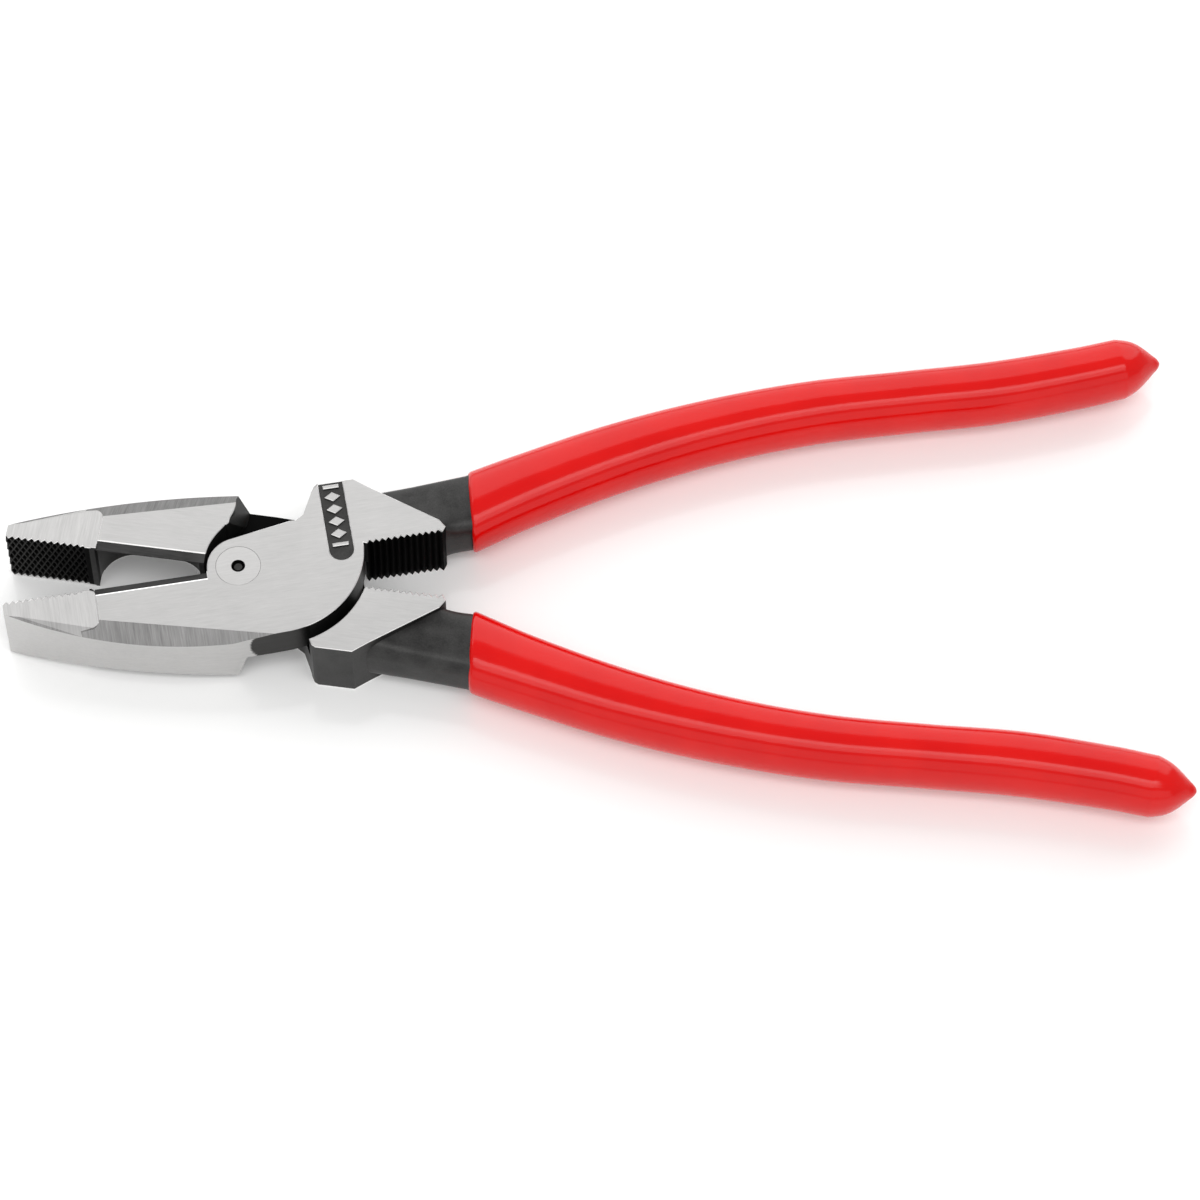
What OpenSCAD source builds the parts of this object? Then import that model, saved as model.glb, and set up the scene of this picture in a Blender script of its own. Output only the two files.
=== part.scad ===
// Lineman pliers: two forged halves crossing in a lap joint, one flush rivet and two dipped grips.
// +X runs from the joint to the handle ends, +Y is across the jaws, +Z is up through the rivet.
// The origin is on the joint axis, on the underside, so the pliers stand on z = 0.
// Each half is drawn in its closed position, with the joint plane at z = 0, then turned and lifted.

/* [Head] */
// Thickness of the head
head_t = 15; // [14:0.5:16]
// Angle between the halves at rest, 0 is closed
open_angle = 18; // [4:1:36]
// Distance from the joint axis to the jaw tips
jaw_l = 47.1; // [46:0.1:48]
// Distance from the joint axis to the rear end of the shoulders
shoulder_l = 42; // [41:0.5:43]
// Distance from the jaws' meeting line to the outer side at the joint
half_w = 16.7; // [16.4:0.1:17]

/* [Front gripping face] */
// Length of the serrated face
knurl_l = 18; // [16:0.5:18]
// Pitch of the serrations
knurl_pitch = 1.32; // [1.2:0.02:1.5]
// Depth of the serrations
knurl_depth = 0.6; // [0.3:0.1:0.7]
// Depth of the ground pad on the tips below the joint plates' faces
pad_drop = 0.35; // [0.2:0.05:0.5]

/* [Cutter] */
// Width of the bevel on the face side of the cutting edge
cutter_w = 1.8; // [1.5:0.1:2.2]
// Drop of the cutting edge below the face
cutter_drop = 0.8; // [0.5:0.1:1.2]
// Depth of the hollow behind the cutting edge
hollow_d = 8.3; // [7:0.1:8.5]

/* [Rear gripping zone] */
// Number of serrations
rear_teeth = 12; // [8:1:12]
// Pitch of the serrations
rear_pitch = 1.25; // [1.1:0.05:1.3]

/* [Joint] */
// Diameter of the rivet's heads
rivet_head_d = 9; // [8:0.5:10]
// Diameter of the rivet's shank
rivet_d = 6; // [5:0.5:6]
// Radial clearance of the turning half on the rivet
run_gap = 0.05; // [0.02:0.01:0.1]

/* [Grips] */
// Distance from the joint axis to the grips' front edge
grip_start = 47.9; // [47:0.1:49]
// Distance from the joint axis to the grips' ends
grip_end = 192.9; // [190:0.1:194]

/* [Hidden] */
$fn = 96;

h = head_t / 2;
face_gap = 0.05;     // half the play between the two joint plates
bite_gap = 0.12;     // half the gap left between the closed jaws
eps = 0.01;

// Joint plate: a round nose in front and a round heel that turns inside the other half's pocket
nose_c = [0.4, 0];
nose_r = 6.6;
heel_c = [6.9, 1.8];
heel_r = half_w + 1.7;
pocket_gap = 0.6;    // between the heel and the other half's pocket wall

// Outer side of the jaw: one long arc from the tip to the joint
side_c = [8.5, 97.1];
side_r = 114.5;

// Outer bevels of the jaw, as a line on the face and a slope down from it
bevel_from = [-jaw_l, -2.6];
bevel_to = [4.3, -16.5];
bevel_slope = 31;
pad_bevel_from = [-45, -3.7];
pad_bevel_to = [-31, -8.7];
pad_bevel_slope = 45;
pad_end = -28.75;    // where the ground pad meets the main face

// Rear gripping face, and the recessed panel for the raised marks
rear_y = 0.85;
rear_from = 26;
mark_x = 20.8;
mark_w = 4.9;
mark_depth = 0.4;
rear_depth = 0.7;    // depth of the rear serrations

// Centre line, half width and half height of a grip along x, closed position
grip_line = [[44, 7.5], [60, 12.1], [80, 16.6], [100, 19.35], [120, 20.35], [140, 19.55], [158, 18.7],
             [176, 19.25], [186, 20.05], [grip_end, 19.9]];
grip_half_w = [[44, 8], [60, 7.35], [80, 6.85], [100, 6.4], [120, 6.15], [140, 6], [158, 6.1], [176, 5.9],
               [grip_end, 5.7]];
grip_half_h = [[44, 6.4], [60, 6.5], [100, 6.6], [176, 6.4], [grip_end, 6]];
// Share of the full section left at a distance from the grip's end: a blunt end drawn out to a soft point
grip_share = [[0, 0.02], [0.2, 0.11], [0.6, 0.19], [1.4, 0.31], [2.3, 0.45], [3.1, 0.57], [4.5, 0.75],
              [6, 0.88], [8.4, 1], [9, 1]];
mouth_turn = -5;     // the grip's front edge is not square to the tang but nearly square to the jaws
mouth_l = 20;        // length over which the sections turn square to the grip
ring_n = 32;
section_power = 0.87; // 1 is an ellipse, less is squarer
core_wall = 1.3;     // least plastic over the tang
tang_h = 5;          // half height of the tang
tang_lip = 1.9;      // how much narrower the tang is at its top and bottom
tang_from = 27;      // it starts inside the shoulder, behind the other half's heel
tang_bend = 48;      // from here it follows the grip
tang_end = 180;

function arc(c, r, a0, a1, n) = [for (i = [0:n]) let (a = a0 + (a1 - a0) * i / n) c + r * [cos(a), sin(a)]];
function side_y(x) = side_c[1] - sqrt(side_r * side_r - (x - side_c[0]) * (x - side_c[0]));

// Smooth curve through a list of [x, value] points: a cubic between neighbours, sloped by the points around
function seg(x, t, i = 0) = (i >= len(t) - 2 || x < t[i + 1][0]) ? i : seg(x, t, i + 1);
function slope(t, i) =
    let (a = max(i - 1, 0), b = min(i + 1, len(t) - 1)) (t[b][1] - t[a][1]) / (t[b][0] - t[a][0]);
function curve(x, t) =
    let (i = seg(x, t), w = t[i + 1][0] - t[i][0], u = (x - t[i][0]) / w)
    (2 * u * u * u - 3 * u * u + 1) * t[i][1] + (3 * u * u - 2 * u * u * u) * t[i + 1][1]
    + w * (u * u * u - 2 * u * u + u) * slope(t, i) + w * (u * u * u - u * u) * slope(t, i + 1);
function line_angle(x) = atan2(curve(x + 0.5, grip_line) - curve(x - 0.5, grip_line), 1);

function taper(x) = curve(min(grip_end - x, grip_share[len(grip_share) - 1][0]), grip_share);

// One section of the grip, turned from the mouth's angle to square with the grip
function turn_at(x) =
    let (u = min(max((x - grip_start) / mouth_l, 0), 1))
    mouth_turn + (line_angle(x) - mouth_turn) * u * u * (3 - 2 * u);
function ring(x) =
    let (a = turn_at(x), k = taper(x), w = curve(x, grip_half_w) * k / cos(line_angle(x) - a),
        z = curve(x, grip_half_h) * k)
    [for (j = [0:ring_n - 1]) let (t = 360 * j / ring_n,
        p = w * sign(cos(t)) * pow(abs(cos(t)), section_power),
        q = z * sign(sin(t)) * pow(abs(sin(t)), section_power))
        [x - p * sin(a), curve(x, grip_line) + p * cos(a), q]];

// Whole plan of the half at its joint plate's level, without its serrations
side_to = -3.4;
side_end = [side_to, side_y(side_to)];
plate_side = [4.5, -half_w];
side_arc = [for (i = [0:24]) let (x = -jaw_l + (side_to + jaw_l) * i / 24) [x, side_y(x)]];
shoulder_back = [[41, 3.8], [28.4, 13.7], [25.5, 16.2], [18.2, 16.2]];
plate_plan = concat([[-6.2, -bite_gap], [-jaw_l, -bite_gap], [-jaw_l, bevel_from[1]]], side_arc,
    [plate_side], arc(heel_c, heel_r, -90, -2, 22),
    [[rear_from, rear_y], [shoulder_l - 0.8, rear_y], [shoulder_l, 2]], shoulder_back,
    [[17.3, 15.5], [14.4, 9.7], [12.7, 8.6], [11.6, 8.65]], arc(nose_c, nose_r, 95, 180, 24));

// Bodies that reach through the whole thickness: the jaw in front and the shoulder behind
function wall(t, from, to, n) = [for (i = [0:n]) let (y = from + (to - from) * i / n) [curve(y, t), y]];
pocket_line = [[side_end[1], side_to], [-13.2, -3], [-9.2, -4.2], [-6.9, -5.5], [-4.4, -6.5], [-2.2, -6.9],
               [-bite_gap, -7]];
pocket_wall = wall(pocket_line, -16, -bite_gap, 20);
foot_end = side_end + 0.32 * (plate_side - side_end);
foot_line = [[foot_end[1], foot_end[0]], [-13.2, -1.3], [-9.2, -4]];
jaw_plan = concat([[-jaw_l, -bite_gap], [-jaw_l, bevel_from[1]]], side_arc, pocket_wall);
shoulder_plan = concat([[rear_from, rear_y], [shoulder_l - 0.8, rear_y], [shoulder_l, 2]], shoulder_back,
    [[17.4, 15.8]], arc([heel_c[0], -heel_c[1]], heel_r + pocket_gap, 59, 10, 16));

// Slanted cut along the line a-b at height z, falling outwards
module slope_cut(a, b, z, angle) {
    d = b - a;
    translate([a[0], a[1], z]) rotate([0, 0, atan2(d[1], d[0])]) rotate([angle, 0, 0])
        translate([-20, -20, 0]) cube([90, 20, 8]);
}

// Foot of the pocket wall, which leans out towards the joint plane, its outer side in line with the jaw's
module pocket_foot() {
    difference() {
        translate([0, 0, -h]) linear_extrude(h + 1)
            polygon(concat([[-10, -9.2], [-10, -15.6], side_end, foot_end],
                wall(foot_line, -16, -9.2, 8)));
        mirror([0, 0, 1]) slope_cut(side_end, [-3.7, -9.2], h, 72);
    }
}

module both_faces() {
    children();
    mirror([0, 0, 1]) children();
}

// Zone of the ground pad: everything in front of pad_end, with round corners
module pad_zone() {
    r = 1.6;
    translate([0, 0, -h - 1]) linear_extrude(head_t + 2)
        polygon(concat([[-jaw_l - 2, 2], [-jaw_l - 2, -14], [-32.5, -14], [-32.5, -8.95]],
            arc([pad_end - r, -8.95 + r], r, -90, 0, 6),
            arc([pad_end - 1, -1.2], 1, 0, 90, 6), [[pad_end - 1, 2]]));
}

// One row of V grooves along y = -bite_gap or y = rear_y, cutting in the direction dir
module grooves(from, count, pitch, depth, y, dir) {
    over = -0.3 * dir;
    translate([0, 0, -h - 1]) linear_extrude(head_t + 2)
        for (i = [0:count - 1]) translate([from + (i + 0.5) * pitch, y])
            polygon([[-pitch / 2, over], [-pitch / 2, 0], [0, depth * dir],
                     [pitch / 2, 0], [pitch / 2, over]]);
}

// Cutting edge near one face: a bevel above it and a round-ended hollow below it
module cutter_cut() {
    r = 6.5;
    translate([pad_end, 0, 0]) rotate([90, 0, 90]) linear_extrude(-pad_end - nose_r + 0.2)
        polygon([[eps, h + 1], [-cutter_w - bite_gap, h + 1], [-cutter_w - bite_gap, h],
                 [-bite_gap, h - cutter_drop], [1, h - cutter_drop - 0.4]]);
    intersection() {
        translate([0, 0, -h - 1]) linear_extrude(head_t)
            polygon(concat([[-8, 1], [-29.1, 1]], arc([-29.1 + r, r - hollow_d], r, 180, 270, 12),
                arc([-8 - r, r - hollow_d], r, 270, 360, 12)));
        translate([-40, 0, 0]) rotate([90, 0, 90]) linear_extrude(40)
            polygon([[-bite_gap, h - cutter_drop], [2, h - cutter_drop], [2, -h - 2], [-10, -h - 2],
                     [-10, -2.2]]);
    }
}

// Generic raised marks in the panel: a row of lozenges between two bars
module marks() {
    translate([mark_x, 1.6]) square([3.2, 0.8], center = true);
    for (i = [0:3]) translate([mark_x, 4.1 + 2.9 * i]) polygon([[-1.6, 0], [0, -1.1], [1.6, 0], [0, 1.1]]);
    translate([mark_x, 15.2]) square([3.2, 0.8], center = true);
}
module mark_recess() {
    difference() {
        translate([0, 0, h - mark_depth]) linear_extrude(1) union() {
            translate([mark_x, 0.3]) circle(d = mark_w);
            translate([mark_x - mark_w / 2, 0.3]) square([mark_w, 20]);
        }
        translate([0, 0, h - mark_depth - eps]) linear_extrude(mark_depth + eps) marks();
    }
}

// Steel tang along the handle, two stacked slabs that stay inside the grip's section
function tang_u(x) = (x - tang_from) / (tang_bend - tang_from);
function tang_w(x) = x < tang_bend ? 5.8 + 0.9 * tang_u(x) : curve(x, grip_half_w) - core_wall;
function tang_y(x) = x < tang_bend ? 8 + 0.7 * tang_u(x) : curve(x, grip_line);
tang_xs = concat([tang_from, 36], [for (x = [tang_bend:6:tang_end]) x]);
module tang_slab(inset, t) {
    translate([0, 0, -t]) linear_extrude(2 * t) polygon(concat(
        [for (x = tang_xs) [x, tang_y(x) - tang_w(x) + inset]],
        [for (i = [len(tang_xs) - 1:-1:0]) [tang_xs[i], tang_y(tang_xs[i]) + tang_w(tang_xs[i]) - inset]]));
}
module tang() {
    tang_slab(0, 2.6);
    tang_slab(tang_lip, tang_h);
}

module half_blank() {
    translate([0, 0, face_gap]) linear_extrude(h - face_gap) polygon(plate_plan);
    translate([0, 0, -h]) linear_extrude(head_t) polygon(jaw_plan);
    translate([0, 0, -h]) linear_extrude(head_t) polygon(shoulder_plan);
    pocket_foot();
}

// edge_up is 1 where the cutting edge is near the joint plate's face, -1 where it is near the other face
module forged_half(edge_up, marked, bore_r, head_r, head_floor) {
    difference() {
        union() {
            difference() {
                half_blank();
                both_faces() slope_cut(bevel_from, bevel_to, h, bevel_slope);
            }
            intersection() {
                difference() {
                    half_blank();
                    both_faces() slope_cut(pad_bevel_from, pad_bevel_to, h - pad_drop, pad_bevel_slope);
                }
                pad_zone();
            }
            tang();
        }
        both_faces() translate([0, 0, h - pad_drop]) intersection() {
            pad_zone();
            translate([-jaw_l - 5, -15, 0]) cube([40, 20, 5]);
        }
        grooves(-jaw_l, floor(knurl_l / knurl_pitch) - 1, knurl_pitch, knurl_depth, -bite_gap, -1);
        grooves(rear_from, rear_teeth, rear_pitch, rear_depth, rear_y, 1);
        if (edge_up > 0) cutter_cut();
        else mirror([0, 0, 1]) cutter_cut();
        if (marked) mark_recess();
        translate([0, 0, -h]) cylinder(r = bore_r, h = head_t + 1);
        translate([0, 0, head_floor]) cylinder(r = head_r, h = 4);
    }
}

module place_a() {
    translate([0, 0, h]) rotate([0, 0, open_angle / 2]) children();
}
module place_b() {
    translate([0, 0, h]) rotate([180, 0, -open_angle / 2]) children();
}

head_l = 1.4;        // length of a rivet head
module forged_half_a() {
    color("silver") place_a() forged_half(1, true, rivet_d / 2, rivet_head_d / 2, h - head_l);
}
module forged_half_b() {
    color("darkgray") place_b()
        forged_half(-1, false, rivet_d / 2 + run_gap, rivet_head_d / 2 + run_gap, h - head_l - run_gap);
}

// Flush rivet with a small centre dimple in its upper head
module joint_rivet() {
    color("lightgray") place_a() difference() {
        union() {
            translate([0, 0, -h]) cylinder(d = rivet_d, h = head_t);
            translate([0, 0, h - head_l]) cylinder(d = rivet_head_d, h = head_l);
            translate([0, 0, -h]) cylinder(d = rivet_head_d, h = head_l);
        }
        translate([0, 0, h - 0.6]) cylinder(d = 2.7, h = 1);
    }
}

// Dipped grip: one smooth sleeve swept along the tang, closed at its end
grip_xs = concat([grip_start], [for (x = [52:4:64]) x], [for (x = [70:8:182]) x],
    [for (i = [len(grip_share) - 2:-1:0]) grip_end - grip_share[i][0]]);
module grip() {
    rings = [for (x = grip_xs) ring(x)];
    n = len(rings);
    difference() {
        polyhedron(
            points = [for (r = rings) each r],
            faces = concat(
                [[for (j = [ring_n - 1:-1:0]) j]],
                [for (i = [0:n - 2]) for (j = [0:ring_n - 1]) let (k = (j + 1) % ring_n)
                    each [[i * ring_n + j, i * ring_n + k, (i + 1) * ring_n + k],
                          [i * ring_n + j, (i + 1) * ring_n + k, (i + 1) * ring_n + j]]],
                [[for (j = [0:ring_n - 1]) (n - 1) * ring_n + j]]));
        tang();
    }
}
module grip_a() {
    color("red") place_a() grip();
}
module grip_b() {
    color("crimson") place_b() grip();
}

forged_half_a();
forged_half_b();
joint_rivet();
grip_a();
grip_b();
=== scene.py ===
import bmesh
import bpy
import numpy as np
from mathutils import Matrix


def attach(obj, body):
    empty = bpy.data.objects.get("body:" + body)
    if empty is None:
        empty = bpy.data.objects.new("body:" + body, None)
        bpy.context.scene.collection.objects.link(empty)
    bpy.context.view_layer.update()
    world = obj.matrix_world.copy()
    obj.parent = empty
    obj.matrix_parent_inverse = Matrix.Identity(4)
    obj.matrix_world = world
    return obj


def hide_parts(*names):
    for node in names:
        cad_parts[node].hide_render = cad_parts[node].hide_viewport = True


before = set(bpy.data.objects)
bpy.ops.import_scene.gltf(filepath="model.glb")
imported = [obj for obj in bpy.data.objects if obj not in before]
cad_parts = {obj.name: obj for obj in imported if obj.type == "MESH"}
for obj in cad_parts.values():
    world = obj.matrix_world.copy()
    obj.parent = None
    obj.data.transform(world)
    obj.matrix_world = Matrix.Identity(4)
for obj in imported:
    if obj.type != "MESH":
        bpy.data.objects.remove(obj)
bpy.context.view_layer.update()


# ---- Forged halves ----
# Two alike halves, drop forged in tool steel, blackened all over and then ground bright on their faces,
# jaw sides and outer bevels. They lap at the joint, so half B is half A turned over.
HALF_THICK = 7.5                      # from the joint plane to the outer face, in mm like all sizes here
REST_TURN = 9.0                       # each half is turned this far from closed, in degrees
JAW_TIP, PAD_BACK, PAD_DROP = -47.1, -28.75, 0.35


def turn_of(half):
    """Rows of the turn that puts a half at rest: half A turns by REST_TURN about z, and half B is turned over
    before that."""
    c, s = np.cos(np.radians(REST_TURN)), np.sin(np.radians(REST_TURN))
    if half == "a":
        return np.array([[c, -s, 0], [s, c, 0], [0, 0, 1]])
    return np.array([[c, -s, 0], [-s, -c, 0], [0, 0, -1]])


def placed(points, half):
    """Points of the closed half in mm, taken to their place at rest in metres."""
    return (np.asarray(points) @ turn_of(half).T + [0, 0, HALF_THICK]) / 1000


def unplaced(points, half):
    """The way back: points at rest in metres, taken to the closed half in mm."""
    return (np.asarray(points) * 1000 - [0, 0, HALF_THICK]) @ turn_of(half)


class Wire:
    """An output socket in a material. Arithmetic on it adds Math nodes, and add() adds any other node: its
    settings first, then the values or wires of its sockets."""

    def __init__(self, tree, socket=None):
        self.tree, self.socket = tree, socket

    def add(self, kind, settings, sockets, out=0):
        node = self.tree.nodes.new(kind)
        for key, value in settings.items():
            if key == "stops":
                ramp = node.color_ramp
                while len(ramp.elements) < len(value):
                    ramp.elements.new(0.5)
                for stop, (place, tone) in zip(ramp.elements, value):
                    stop.position, stop.color = place, (tone, tone, tone, 1)
            else:
                setattr(node, key, value)
        for key, value in sockets.items():
            if isinstance(value, Wire):
                self.tree.links.new(value.socket, node.inputs[key])
            else:
                node.inputs[key].default_value = value
        return Wire(self.tree, node.outputs[out])

    def maths(self, operation, *values):
        return self.add("ShaderNodeMath", {"operation": operation}, dict(enumerate(values)))

    def __add__(self, other):
        return self.maths("ADD", self, other)

    def __radd__(self, other):
        return self.maths("ADD", other, self)

    def __sub__(self, other):
        return self.maths("SUBTRACT", self, other)

    def __rsub__(self, other):
        return self.maths("SUBTRACT", other, self)

    def __mul__(self, other):
        return self.maths("MULTIPLY", self, other)

    def __rmul__(self, other):
        return self.maths("MULTIPLY", other, self)

    def between(self, low, high):
        """0 below low and 1 above high, with a smooth rise."""
        return self.add("ShaderNodeMapRange", {"interpolation_type": "SMOOTHSTEP"},
                        {"Value": self, "From Min": low, "From Max": high})

    def scaled(self, sizes):
        """The vector with each axis multiplied by its own size."""
        return self.add("ShaderNodeVectorMath", {"operation": "MULTIPLY"}, {0: self, 1: sizes})

    def noise(self, scale, detail=2.0, rough=0.5):
        return self.add("ShaderNodeTexNoise", {}, {"Vector": self, "Scale": scale, "Detail": detail,
                                                   "Roughness": rough})

    def blend(self, low, high):
        """The colour that is low where this is 0 and high where it is 1."""
        return self.add("ShaderNodeMix", {"data_type": "RGBA"}, {0: self, 6: low, 7: high}, out=2)


def finish(name):
    """A new material without any nodes, and an empty Wire on its tree."""
    material = bpy.data.materials.new(name)
    material.use_nodes = True
    material.node_tree.nodes.clear()
    return material, Wire(material.node_tree)


def shade(start, **sockets):
    """Ends a material: a Principled BSDF with these sockets, wired to the output."""
    sockets = {k.replace("_", " ").title().replace("Ior", "IOR"): v for k, v in sockets.items()}
    skin = start.add("ShaderNodeBsdfPrincipled", {}, sockets)
    end = start.tree.nodes.new("ShaderNodeOutputMaterial")
    start.tree.links.new(skin.socket, end.inputs["Surface"])


def black_share(place):
    """1 past the line where the grinding belt ran out on the plate's side. The line is a parabola in z round
    the plate's middle height, moved back and forth by streaks that are long in x."""
    along = place.add("ShaderNodeSeparateXYZ", {}, {0: place})
    up = Wire(place.tree, along.socket.node.outputs[2])
    middle, bend, streak_length, edge = 3.7, 0.08, 2.2, 0.2
    bow = (up - middle) * (up - middle) * bend
    streak = place.scaled((0.5, 4.0, 4.0)).noise(1.0, 3.0, 0.6)
    return (along - bow + 0.1 + (streak - 0.5) * streak_length).between(-edge, edge)


def ground_steel(name, tone, rough, brush, contrast, runs_out=False):
    """Ground steel: its tone plus scratches stretched along one axis of the half, in a fine and a coarse
    width, and a faint cloud. The coarse ones change the roughness too, and the fine ones are a bump."""
    material, start = finish(name)
    place = start.add("ShaderNodeAttribute", {"attribute_name": "closed_mm"}, {}, out=1)
    fine = place.scaled(brush).noise(1.0, 3.0, 0.65)
    coarse = place.scaled([b * 0.31 for b in brush]).noise(1.0, 2.0, 0.5)
    cloud = place.noise(0.12, 3.0)
    level = (fine - 0.5) * contrast + (coarse - 0.5) * (contrast * 0.7) + (cloud - 0.5) * 0.05 + tone
    colour = level.maths("MAXIMUM", level, 0.0).blend((0, 0, 0, 1), (1, 0.99, 0.98, 1))
    smooth = (coarse - 0.5) * 0.16 + rough
    if runs_out:
        black = black_share(place)
        colour = black.blend(colour, (0.045, 0.044, 0.043, 1))
        smooth = smooth + black * 0.08
    bump = start.add("ShaderNodeBump", {}, {"Strength": 0.12, "Distance": 0.00002, "Height": fine})
    shade(start, base_color=colour, metallic=1.0, roughness=smooth, normal=bump)
    return material


ALONG = (0.35, 4.5, 4.5)              # scratches per mm along x, y and z: they run along the jaws
ACROSS = (4.5, 0.2, 0.2)              # and here across them
face_ground = ground_steel("face_ground", 0.475, 0.34, ALONG, 0.12)
pad_ground = ground_steel("pad_ground", 0.49, 0.32, ACROSS, 0.22)
# painted shade: the outer bevels are the same ground steel as the faces, at a much darker tone for the dimmer
# light they reflect; the scratches across them are real
bevel_ground_painted_shade = ground_steel("bevel_ground_painted_shade", 0.195, 0.36, ACROSS, 0.2)
tip_bevel_ground = ground_steel("tip_bevel_ground", 0.44, 0.36, ACROSS, 0.26)
side_ground = ground_steel("side_ground", 0.54, 0.36, ALONG, 0.12, runs_out=True)
# painted highlight: a near-white copy of the ground steel for the fine edge chamfers, standing in for the
# light they catch
edge_painted_highlight = ground_steel("edge_painted_highlight", 0.92, 0.40, ALONG, 0.05)
cutter_ground = ground_steel("cutter_ground", 0.034, 0.38, ALONG, 0.03)


def black_oxide(name, tone, rough, crest_lift, metal, specular):
    """Blackened steel: its tone plus a fine grain and cloudy patches, both in proportion to it, and lighter
    where the crest attribute is high."""
    material, start = finish(name)
    place = start.add("ShaderNodeAttribute", {"attribute_name": "closed_mm"}, {}, out=1)
    grain = place.noise(3.2, 5.0, 0.7)
    cloud = place.noise(0.22, 4.0, 0.6)
    level = (grain - 0.5) * (tone * 1.2) + (cloud - 0.5) * (tone * 1.5) + tone
    crest = start.add("ShaderNodeAttribute", {"attribute_name": "crest"}, {}, out=2)
    level = level + crest * (grain + 0.3) * crest_lift
    colour = level.maths("MAXIMUM", level, 0.0).blend((0, 0, 0, 1), (1.0, 0.985, 0.965, 1))
    bump = start.add("ShaderNodeBump", {}, {"Strength": 0.35, "Distance": 0.00005, "Height": grain})
    shade(start, base_color=colour, metallic=metal, roughness=(cloud - 0.5) * 0.2 + rough,
          specular_ior_level=specular, normal=bump)
    return material


oxide = black_oxide("black_oxide", 0.041, 0.42, 0.10, 0.75, 0.45)
# painted shade: a near-black copy of the black oxide with almost no reflection, for the teeth, the knurl, the
# lapping faces and the walls of the rivet's dimple; the oxide is real, its extra darkness is painted shade
oxide_painted_shade = black_oxide("black_oxide_painted_shade", 0.002, 0.5, 0.09, 0.0, 0.03)
half_finishes = [oxide, face_ground, pad_ground, bevel_ground_painted_shade, tip_bevel_ground, side_ground, edge_painted_highlight,
                 cutter_ground, oxide_painted_shade]
OXIDE, FACE, PAD, BEVEL, TIP_BEVEL, SIDE, EDGE, CUTTER, TEETH = range(len(half_finishes))


def curve(x, table):
    """A smooth line through a table's points: a cubic between neighbours, sloped by the points around."""
    px, py = np.array(table, float).T
    n = len(px)
    before, after = np.maximum(np.arange(n) - 1, 0), np.minimum(np.arange(n) + 1, n - 1)
    slope = (py[after] - py[before]) / (px[after] - px[before])
    i = np.clip(np.searchsorted(px, x, side="right") - 1, 0, n - 2)
    w = px[i + 1] - px[i]
    u = (x - px[i]) / w
    return ((2 * u**3 - 3 * u**2 + 1) * py[i] + (3 * u**2 - 2 * u**3) * py[i + 1]
            + w * (u**3 - 2 * u**2 + u) * slope[i] + w * (u**3 - u**2) * slope[i + 1])


def grid_faces(rows, columns, around):
    """Quads between neighbouring points of a grid, whose last column joins the first if around is true."""
    i, j = np.meshgrid(np.arange(rows - 1), np.arange(columns if around else columns - 1), indexing="ij")
    here, beside = i * columns + j, i * columns + (j + 1) % columns
    return np.stack([here, beside, beside + columns, here + columns], -1).reshape(-1, 4)


def mesh_of(name, grid, around=True, crest=None):
    """A mesh from a grid of points, with the points that fall together merged and a flat face over an open
    border, facing outwards."""
    rows, columns = grid.shape[:2]
    mesh = bpy.data.meshes.new(name)
    mesh.from_pydata(grid.reshape(-1, 3), [], grid_faces(rows, columns, around).tolist())
    if crest is not None:
        crest_lift = mesh.attributes.new("crest", "FLOAT", "POINT")
        crest_lift.data.foreach_set("value", crest.ravel().astype(np.float32))
    bm = bmesh.new()
    bm.from_mesh(mesh)
    bmesh.ops.remove_doubles(bm, verts=bm.verts, dist=1e-4)
    bmesh.ops.holes_fill(bm, edges=[e for e in bm.edges if e.is_boundary], sides=0)
    bmesh.ops.recalc_face_normals(bm, faces=bm.faces)
    for f in bm.faces:
        f.smooth = True
    bm.to_mesh(mesh)
    bm.free()
    return mesh


TANG_START, TANG_END = 26, 52          # both ends are hidden, in the shoulder and in the grip
FLARE, FLARE_END, FLARE_LONG = 1.95, 45.5, 5


def ring(count, power):
    """One turn of count points round a superellipse of half size 1: the signed powers of cos t and sin t."""
    t = np.radians(np.arange(count) * 360 / count)
    c, s = np.cos(t), np.sin(t)
    return np.sign(c) * np.abs(c) ** power, np.sign(s) * np.abs(s) ** power, t


def tang_skin():
    """The bare tang between shoulder and grip: rounded-square rings along x, of a superellipse with the power
    one half, whose centre and half sizes grow slowly, closed to a point at each hidden end. On the inner side
    the height flares up to the shoulder's own with the square of the distance."""
    x = np.concatenate([[TANG_START, TANG_START], np.linspace(28, 40, 5), np.linspace(40.5, 46, 12),
                        [48, 50, TANG_END, TANG_END]])
    closed = np.ones(len(x))
    closed[[0, -1]] = 0
    p, q, t = ring(64, 0.5)
    flare = FLARE * (np.clip(FLARE_END - x, 0, FLARE_LONG) / FLARE_LONG) ** 2
    y = np.interp(x, [TANG_START, 48, TANG_END], [8.0, 8.75, 9.6])
    w = np.interp(x, [TANG_START, 48, TANG_END], [6.0, 6.9, 6.9]) * closed
    h = np.interp(x, [TANG_START, 36, TANG_END], [6.3, 5.5, 5.45])[:, None]
    h = h + flare[:, None] * np.clip(0.2 - np.cos(t), 0, 1)
    return np.stack([x[:, None] + 0 * p, y[:, None] + w[:, None] * p, h * closed[:, None] * q], -1)


KNURL_PITCH, KNURL_DEPTH, KNURL_TOP = 1.32, 0.62, HALF_THICK - PAD_DROP
KNURL_FRONT, KNURL_BACK, KNURL_END = -0.12, -0.9, -30.2
KNURL_LEAN = 5 * KNURL_PITCH / (2 * KNURL_TOP)    # a ridge moves on by five pitches over the jaw's thickness
EDGE_CHAMFER = 0.13                            # width of the fine chamfer along the edges, painted bright as a highlight


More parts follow.
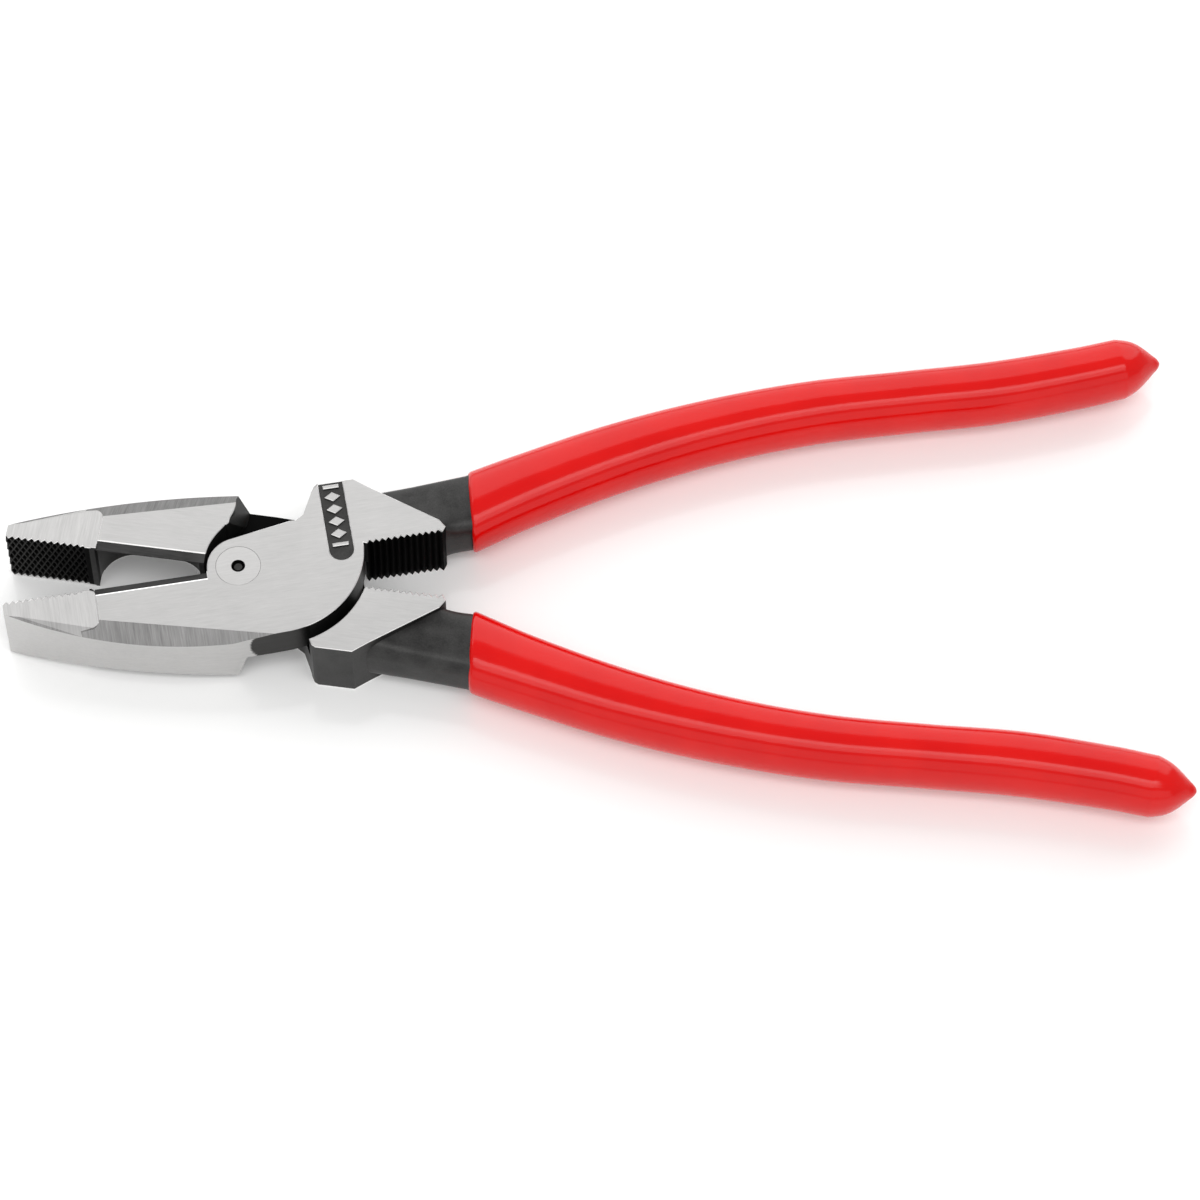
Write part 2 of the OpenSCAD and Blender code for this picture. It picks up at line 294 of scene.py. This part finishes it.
def knurl_skin():
    """The knurled face of a jaw tip, with the share at each point by which its colour is lightened on the
    crests. Two families of slanting V ridges cross, and on a grid of x and z the surface takes the higher of
    the two, which leaves a sunk diamond between them. Both have a ridge at the same places along the top and
    bottom edges, so those edges are even zigzags. Past the last groove the face is flat. A fine chamfer runs
    along each edge, painted bright as a highlight, and the outer rows and columns fold back to the jaw."""
    x = np.linspace(JAW_TIP, KNURL_END, 233)
    z = np.concatenate([[-KNURL_TOP], np.linspace(EDGE_CHAMFER - KNURL_TOP, KNURL_TOP - EDGE_CHAMFER, 121), [KNURL_TOP]])
    xx, zz = np.meshgrid(x, z, indexing="xy")

    def off_ridge(s):
        return np.abs(((s / KNURL_PITCH + 0.5) % 1) * 2 - 1)
    one = off_ridge(xx - JAW_TIP + KNURL_LEAN * (KNURL_TOP - zz))
    other = off_ridge(xx - JAW_TIP - KNURL_LEAN * (KNURL_TOP - zz))
    deep = np.minimum(1 - one, 1 - other)
    # the last of these is the share by which the lightening of the crests falls off from the tip to the back
    flat, fade, crest_fade = 0.8, 0.6, 0.75
    worked = np.clip((KNURL_END - flat - xx) / fade, 0, 1)
    face = KNURL_FRONT - KNURL_DEPTH * deep * worked
    face[[0, -1]] -= EDGE_CHAMFER
    points = np.stack([xx, face, zz], -1)
    crest = np.clip(1 - deep * 3, 0, 1) * worked * (1 - crest_fade * (xx - JAW_TIP) / (KNURL_END - JAW_TIP))
    back = points.copy()
    back[..., 1] = KNURL_BACK
    points = np.concatenate([back[:1], points, back[-1:]], 0)
    crest = np.concatenate([crest[:1] * 0, crest, crest[-1:] * 0], 0)
    left, right = points[:, :1].copy(), points[:, -1:].copy()
    left[..., 1] = right[..., 1] = KNURL_BACK
    points = np.concatenate([left, points, right], 1)
    crest = np.concatenate([crest[:, :1] * 0, crest, crest[:, -1:] * 0], 1)
    return points, crest


BEVEL_END, SIDE_END, CUTTER_END = 5, 12, -6
OUTER_Y, CUTTER_Y = -2.5, -2.2        # bevels and side lie beyond the first, the cutters inside the second
REAR_TEETH_X, REAR_TEETH_Y = 25.8, 1.7


def sort_finishes(bm):
    """Gives each face its finish from where it lies in the closed half and where it looks."""
    for f in bm.faces:
        c, n = f.calc_center_median(), f.normal
        level, tilt = abs(c.z), abs(n.z)
        lies, stands, outer = tilt > 0.99, tilt < 0.3, c.y < OUTER_Y
        f.material_index = OXIDE
        if lies and level > HALF_THICK - 0.05:
            f.material_index = FACE
        elif lies and level > HALF_THICK - PAD_DROP - 0.05 and c.x < PAD_BACK + 0.1:
            f.material_index = PAD
        # the outer bevels: BEVEL is ground steel painted dark as shade, and the steeper bevel faces take
        # TIP_BEVEL
        elif 0.3 < tilt < 0.97 and n.y < -0.2 and c.x < BEVEL_END and outer:
            f.material_index = TIP_BEVEL if tilt < 0.79 else BEVEL
        elif 0.6 < tilt < 0.97 and n.y > 0.2 and c.x < CUTTER_END and c.y > CUTTER_Y:
            f.material_index = CUTTER
        elif stands and n.y < -0.5 and c.x < SIDE_END and outer:
            f.material_index = SIDE
        elif stands and n.x < -0.9 and c.x < JAW_TIP + 0.2:
            f.material_index = SIDE
        # the TEETH finish below is the near-black oxide with painted shade: for the rear teeth, the faces
        # round the knurled block and the lapping faces at the joint plane
        elif stands and c.x > REAR_TEETH_X and c.y < REAR_TEETH_Y:
            f.material_index = TEETH
        elif (c.x < PAD_BACK + 1 and c.y > KNURL_BACK) or (lies and level < 1):
            f.material_index = TEETH


JOINT_CLEAR = 5                       # edges nearer the axis than this are the rivet's seat
STEP = 0.01                           # width of the end step behind the knurled block
CORNER_FRONT, CORNER_BACK = -0.13, -1.3
FLAT_HALF = 4                         # the jaw's side is shaded flat this near the joint


def stays_sharp(edge):
    """True for an edge that gets no chamfer with its painted highlight: under the knurled block, at the
    rivet's seat, at the pad's inner rear corner, and where it is very short."""
    mid = (edge.verts[0].co + edge.verts[1].co) / 2
    under_block = mid.x < KNURL_END + 2 * STEP and mid.y > KNURL_BACK - 0.1
    in_corner = KNURL_END < mid.x < PAD_BACK + 0.1 and CORNER_BACK < mid.y < CORNER_FRONT
    return under_block or in_corner or mid.xy.length < JOINT_CLEAR or edge.calc_length() < 0.2


def forged_half(half):
    """The CAD half with its loose triangles joined, its serrated tip cleared for the knurled block, and a
    fine chamfer along the edges where ground faces meet black ones, painted bright as a highlight."""
    node = "forged_half_" + half
    bm = bmesh.new()
    bm.from_mesh(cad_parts[node].data)
    bmesh.ops.remove_doubles(bm, verts=bm.verts, dist=1e-6)
    co = unplaced([v.co for v in bm.verts], half)
    for v, c in zip(bm.verts, co):
        v.co = c
    for x in (KNURL_END, KNURL_END - STEP):
        bmesh.ops.bisect_plane(bm, geom=bm.verts[:] + bm.edges[:] + bm.faces[:], plane_co=(x, 0, 0),
                               plane_no=(1, 0, 0), dist=1e-5)
    for v in bm.verts:
        if v.co.x < KNURL_END - STEP / 2 and v.co.y > KNURL_BACK:
            v.co.y = KNURL_BACK
    bm.normal_update()
    bmesh.ops.dissolve_limit(bm, angle_limit=np.radians(0.4), verts=bm.verts, edges=bm.edges)
    sort_finishes(bm)
    highlight_edges = []
    for e in bm.edges:
        kinds = {f.material_index for f in e.link_faces}
        ground_to_black = kinds & {FACE, PAD} and kinds & {OXIDE, TEETH, CUTTER}
        if ground_to_black and e.calc_face_angle() > 0.2 and not stays_sharp(e):
            highlight_edges.append(e)
    # the chamfers take the EDGE finish, a painted highlight
    bmesh.ops.bevel(bm, geom=highlight_edges, offset=EDGE_CHAMFER, offset_type="OFFSET", segments=1, profile=0.5,
                    affect="EDGES", clamp_overlap=False, material=EDGE)
    bm.normal_update()
    for f in bm.faces:
        curved = abs(f.normal.z) < 0.3 and not -FLAT_HALF < f.calc_center_median().x < FLAT_HALF
        f.smooth = curved and f.material_index != EDGE
        if f.material_index in (FACE, PAD) and abs(f.normal.z) > 0.9:
            for v in f.verts:
                v.co.z = np.copysign(HALF_THICK if f.material_index == FACE else KNURL_TOP, v.co.z)
    mesh = bpy.data.meshes.new(node + "_forging")
    bm.to_mesh(mesh)
    bm.free()
    mesh.attributes.remove(mesh.attributes["custom_normal"])
    return mesh


def shown(name, data):
    """A new object in the scene, at the origin."""
    item = bpy.data.objects.new(name, data)
    bpy.context.scene.collection.objects.link(item)
    return item


def join_parts(name, parts, half):
    """Several meshes of one half as one object at rest, keeping each mesh's finishes and smooth faces, with
    the closed half's own coordinates kept as an attribute so that the scratches turn with it."""
    bm = bmesh.new()
    for mesh in parts:
        bm.from_mesh(mesh)
        bpy.data.meshes.remove(mesh)
    mesh = bpy.data.meshes.new(name)
    bm.to_mesh(mesh)
    bm.free()
    co = np.empty(len(mesh.vertices) * 3, np.float32)
    mesh.vertices.foreach_get("co", co)
    mesh.attributes.new("closed_mm", "FLOAT_VECTOR", "POINT").data.foreach_set("vector", co)
    mesh.vertices.foreach_set("co", placed(co.reshape(-1, 3), half).ravel())
    smooth = np.empty(len(mesh.polygons), bool)
    mesh.polygons.foreach_get("use_smooth", smooth)
    mesh.set_sharp_from_angle(angle=np.radians(32))
    mesh.polygons.foreach_set("use_smooth", smooth)
    mesh.update()
    return shown(name, mesh)


for half in "ab":
    forging = forged_half(half)
    tang = mesh_of("tang", tang_skin())
    points, crest = knurl_skin()
    knurl = mesh_of("knurl", points, around=False, crest=crest)
    for poly in knurl.polygons:
        # the knurl's face inside its edges takes TEETH, black oxide made near-black with painted shade
        out = abs(poly.center.z) > KNURL_TOP - EDGE_CHAMFER
        # its edge chamfers take the EDGE finish, a painted highlight
        poly.material_index = (PAD if abs(poly.normal.z) > 0.95 else EDGE) if out else TEETH
        poly.use_smooth = not out
    steel = join_parts("forged_half_" + half + "_steel", [forging, tang, knurl], half)
    for material in half_finishes:
        steel.data.materials.append(material)
    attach(steel, "half_" + half)
    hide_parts("forged_half_" + half)


# ---- Joint rivet ----
# One rivet with two flush heads, pressed into half A and ground off level with the faces. A small round
# centre mark is left in its upper head.
DIMPLE_FLOOR_R, DIMPLE_R, HEAD_R, SHANK_R = 0.8, 1.38, 4.47, 3.0
RIVET_LINE = [[0, -0.42], [DIMPLE_FLOOR_R, -0.42], [0.9, -0.5], [1.25, -0.6], [1.34, -0.5], [1.36, -0.03],
              [1.39, 0], [4.42, 0], [4.46, -0.03], [HEAD_R, -0.1], [HEAD_R, -1.4], [SHANK_R, -1.4],
              [SHANK_R, -13.6], [HEAD_R, -13.6], [HEAD_R, -14.9], [4.42, -15], [0, -15]]


def rivet_skin():
    """A profile of radius and depth below the upper face, turned about the joint axis: a dimple whose floor
    is raised in the middle, the flat head with a fine chamfer at its rim, the shank, and the lower head."""
    r, z = np.array(RIVET_LINE).T
    p, q, t = ring(96, 1)
    return np.stack([r[:, None] * p, r[:, None] * q, (z + HALF_THICK)[:, None] + 0 * t], -1)


rivet_ground = ground_steel("rivet_ground", 0.50, 0.33, ALONG, 0.12)
rivet = join_parts("joint_rivet_steel", [mesh_of("rivet", rivet_skin())], "a")
for material in (rivet_ground, oxide_painted_shade, oxide):
    rivet.data.materials.append(material)
for poly in rivet.data.polygons:
    away = np.hypot(poly.center.x, poly.center.y) * 1000
    in_dimple = away < DIMPLE_R and poly.center.z > HALF_THICK / 1000
    # the dimple's walls get the near-black oxide as painted shade, and its floor the plain oxide
    poly.material_index = (2 if away < DIMPLE_FLOOR_R else 1) if in_dimple else 0
    poly.use_smooth = abs(poly.normal.z) < 0.9
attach(rivet, "half_a")
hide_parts("joint_rivet")


# ---- Grips ----
# Soft red plastic sleeves, made by dipping the tangs: thick and glossy, with a rolled lip in front, a full
# rounded end and the small drip point where the last plastic ran off.
GRIP_START, GRIP_END = 47.9, 192.9
GRIP_LINE = [[44, 7.5], [60, 12.1], [80, 16.6], [100, 19.35], [120, 20.35], [140, 19.55], [158, 18.7],
             [176, 19.25], [186, 20.05], [GRIP_END, 19.9]]
GRIP_HALF_W = [[44, 8], [60, 7.35], [80, 6.85], [100, 6.4], [120, 6.15], [140, 6], [158, 6.1], [176, 5.9],
               [GRIP_END, 5.7]]
GRIP_HALF_H = [[44, 6.4], [60, 6.5], [100, 6.6], [176, 6.4], [GRIP_END, 6]]
DRIP_LONG = 9
GRIP_SHARE = [[0, 0], [0.05, 0.045], [0.2, 0.1], [0.6, 0.19], [1.4, 0.31], [2.3, 0.45], [3.1, 0.57],
              [4.5, 0.75], [6, 0.88], [8.4, 1], [DRIP_LONG, 1]]
MOUTH_TURN, MOUTH_LONG, LIP = -5.0, 20.0, 0.9


def grip_skin():
    """Superellipse rings across a curved centre line. The half sizes follow smooth tables, times the share
    left at each distance from the drawn-out end, where the rings crowd with the square of the distance. A
    ring's turn goes smoothly from the mouth's own angle to square with the grip, and its width is divided by
    the cosine of what is missing. The first rings roll round the lip, whose circle takes them in by
    LIP (1 - cos) and forward by LIP sin."""
    roll = np.radians(np.linspace(180, 0, 15))
    lip = GRIP_START + LIP - LIP * np.sin(roll)
    body = np.linspace(GRIP_START + 1.6, GRIP_END - DRIP_LONG, 150)
    drip = GRIP_END - np.linspace(np.sqrt(DRIP_LONG), 0, 41)[:-1] ** 2
    x = np.concatenate([[GRIP_START + 4] * 2, lip, body, drip, [GRIP_END]])
    take_in = np.zeros(len(x))
    take_in[:2] = 2 * LIP
    take_in[2:2 + len(roll)] = LIP * (1 - np.cos(roll))
    share = curve(np.minimum(GRIP_END - x, DRIP_LONG), GRIP_SHARE)
    share[0] = share[-1] = 0
    heading = np.arctan(curve(x + 0.5, GRIP_LINE) - curve(x - 0.5, GRIP_LINE))
    u = np.clip((x - GRIP_START) / MOUTH_LONG, 0, 1)
    turn = np.radians(MOUTH_TURN) + (heading - np.radians(MOUTH_TURN)) * u * u * (3 - 2 * u)
    w = (curve(x, GRIP_HALF_W) / np.cos(heading - turn) - take_in) * share
    h = (curve(x, GRIP_HALF_H) - take_in) * share
    p, q, _ = ring(96, 0.87)
    p, q = p * w[:, None], q * h[:, None]
    middle = curve(x, GRIP_LINE)[:, None]
    return np.stack([x[:, None] - p * np.sin(turn)[:, None], middle + p * np.cos(turn)[:, None], q], -1)


def dipped_plastic():
    """Glossy red plastic with the slow waves of a dipped skin and a faint fine peel."""
    material, start = finish("grip_red")
    place = start.add("ShaderNodeAttribute", {"attribute_name": "closed_mm"}, {}, out=1)
    wave = place.noise(0.09, 2.0)
    peel = place.noise(1.1, 2.0)
    colour = wave.between(0.3, 0.7).blend((0.66, 0.001, 0.001, 1), (0.71, 0.003, 0.002, 1))
    slow = start.add("ShaderNodeBump", {}, {"Strength": 0.25, "Distance": 0.0003, "Height": wave})
    bump = start.add("ShaderNodeBump", {}, {"Strength": 0.03, "Distance": 0.0001, "Height": peel,
                                            "Normal": slow})
    shade(start, base_color=colour, roughness=(peel - 0.5) * 0.04 + 0.14, specular_ior_level=0.33,
          normal=bump)
    return material


grip_red = dipped_plastic()
for half in "ab":
    sleeve = join_parts("grip_" + half + "_sleeve", [mesh_of("sleeve", grip_skin())], half)
    sleeve.data.materials.append(grip_red)
    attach(sleeve, "half_" + half)
    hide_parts("grip_" + half)


# ---- Floor, light and camera ----
# A pale glossy table in a dim white room: a wide soft box low behind it, a weaker one low in front, and two
# narrow ones above. The sheet lies a hair below the pliers, so that it never shares a plane with them.
FLOOR_HALF, FLOOR_Z = 6.0, -0.0001
sheet = bpy.data.meshes.new("floor")
corners = [(x * FLOOR_HALF, y * FLOOR_HALF, FLOOR_Z) for x, y in [(-1, -1), (1, -1), (1, 1), (-1, 1)]]
sheet.from_pydata(corners, [], [(0, 1, 2, 3)])
floor = shown("floor", sheet)
floor_white, start = finish("floor_white")
mottle = start.add("ShaderNodeTexCoord", {}, {}, out=3).noise(3.0)
shade(start, base_color=mottle.blend((0.91, 0.91, 0.905, 1), (0.93, 0.93, 0.925, 1)), roughness=0.14,
      emission_color=(1, 1, 0.99, 1), emission_strength=0.11)
floor.data.materials.append(floor_white)


def stood(right, rise, back, place):
    """The matrix of an object at place whose own axes point along right, rise and back."""
    return Matrix([*np.column_stack([right, rise, back, place]).tolist(), [0, 0, 0, 1]])


def soft_box(name, place, wide, tall, watts):
    """A rectangular area light at place, facing the middle of the pliers."""
    light = bpy.data.lights.new(name, "AREA")
    light.shape, light.size, light.size_y, light.energy = "RECTANGLE", wide, tall, watts
    away = np.array(place) - [0.07, 0, 0]
    back = away / np.linalg.norm(away)
    side = np.cross([0, 1, 0.01], back)
    side /= np.linalg.norm(side)
    shown(name, light).matrix_world = stood(side, np.cross(back, side), back, place)


soft_box("box_at_back", (0.07, 1.01, 0.68), 3.0, 1.35, 17)
soft_box("box_in_front", (0.07, -1.15, 0.45), 3.0, 0.8, 5)
soft_box("strip_over_front", (0.07, -0.46, 1.70), 2.4, 0.40, 9)
soft_box("strip_over_camera", (0.07, -0.95, 1.65), 2.4, 0.50, 6)

world = bpy.data.worlds.new("room")
world.use_nodes = True
world.node_tree.nodes["Background"].inputs["Color"].default_value = (1, 1, 1, 1)
world.node_tree.nodes["Background"].inputs["Strength"].default_value = 0.45
bpy.context.scene.world = world
bpy.context.scene.view_settings.view_transform = "Standard"

# The camera looks down on the pliers from in front of them: turned a little about z, high up, and rolled.
around, above, roll = np.radians([1.41, 59.44, 0.43])
ahead = np.array([np.sin(around) * np.cos(above), np.cos(around) * np.cos(above), -np.sin(above)])
level = np.array([np.cos(around), -np.sin(around), 0])
right = level * np.cos(roll) + np.cross(level, ahead) * np.sin(roll)
rise = np.cross(right, ahead)
camera = shown("camera", bpy.data.cameras.new("camera"))
camera.data.lens, camera.data.sensor_width = 154.5, 36
camera.data.clip_start, camera.data.clip_end = 0.05, 50
camera.matrix_world = stood(right, rise, -ahead, (0.0589, -0.5264, 0.8915))
bpy.context.scene.camera = camera
